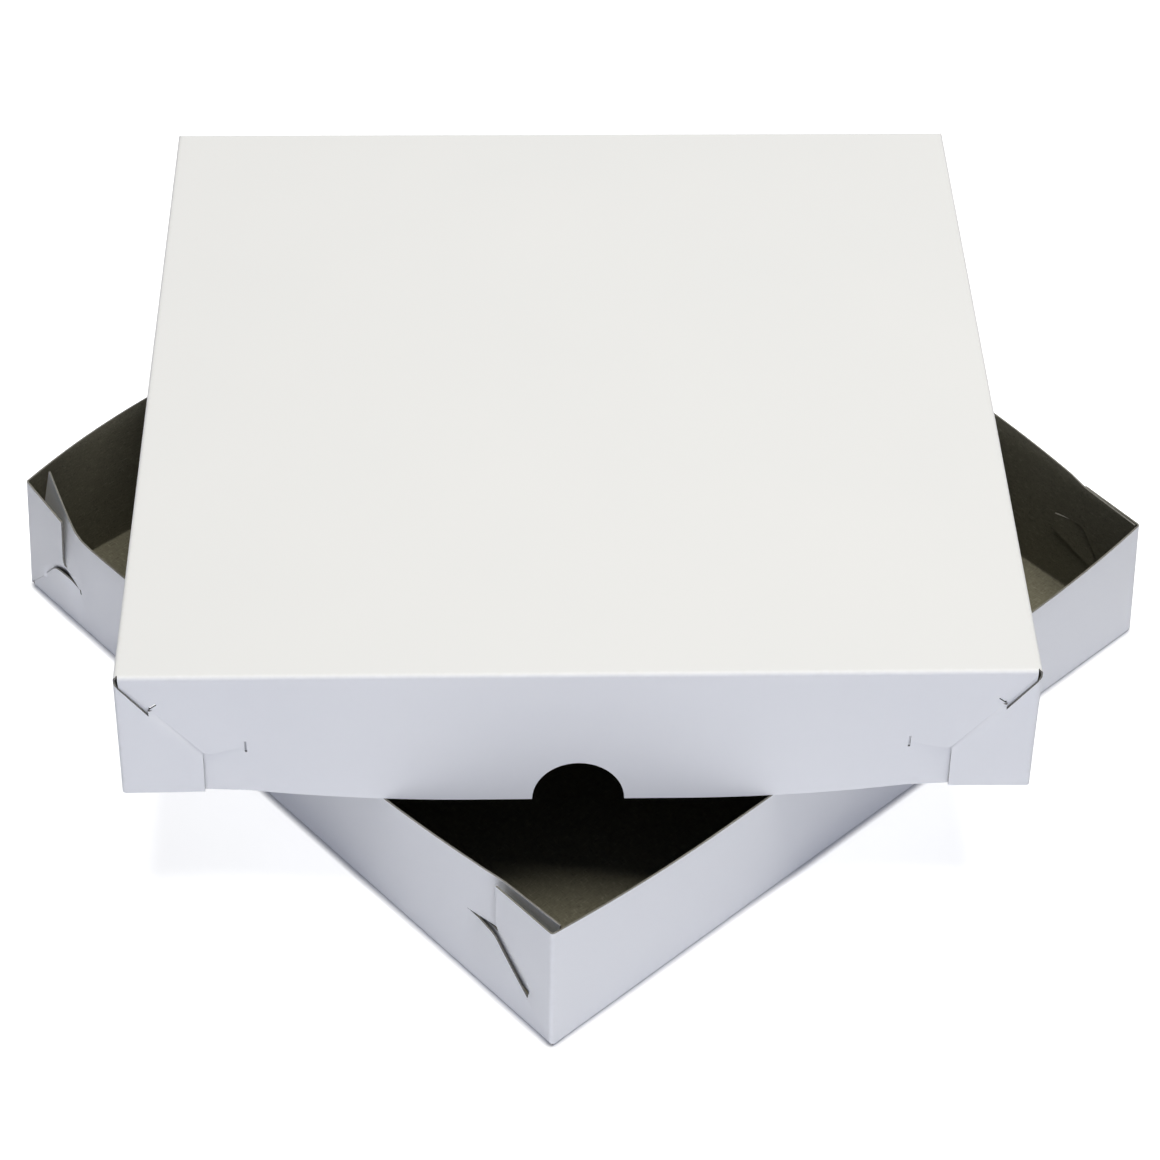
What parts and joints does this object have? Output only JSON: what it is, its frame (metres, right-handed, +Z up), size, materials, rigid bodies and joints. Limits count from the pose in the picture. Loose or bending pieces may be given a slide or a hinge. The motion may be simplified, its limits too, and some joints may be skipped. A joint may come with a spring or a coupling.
{
  "type": "cake box",
  "caption": "Square two-piece cake box of white folded card: shallow tray with hook-locked corners and a lift-off lid with a thumb notch, lying crosswise on the open tray.",
  "frame": {"origin": "middle of the tray's underside", "axes": "+Z up, +X across the locked walls of the tray, +Y across its plain walls"},
  "size_m": [0.4036, 0.4036, 0.1],
  "materials": {
    "card": "white coated outside, bare grey back inside, satin"
  },
  "bodies": {
    "root": {"tray": "card", "lid": "card"}
  },
  "joints": []
}
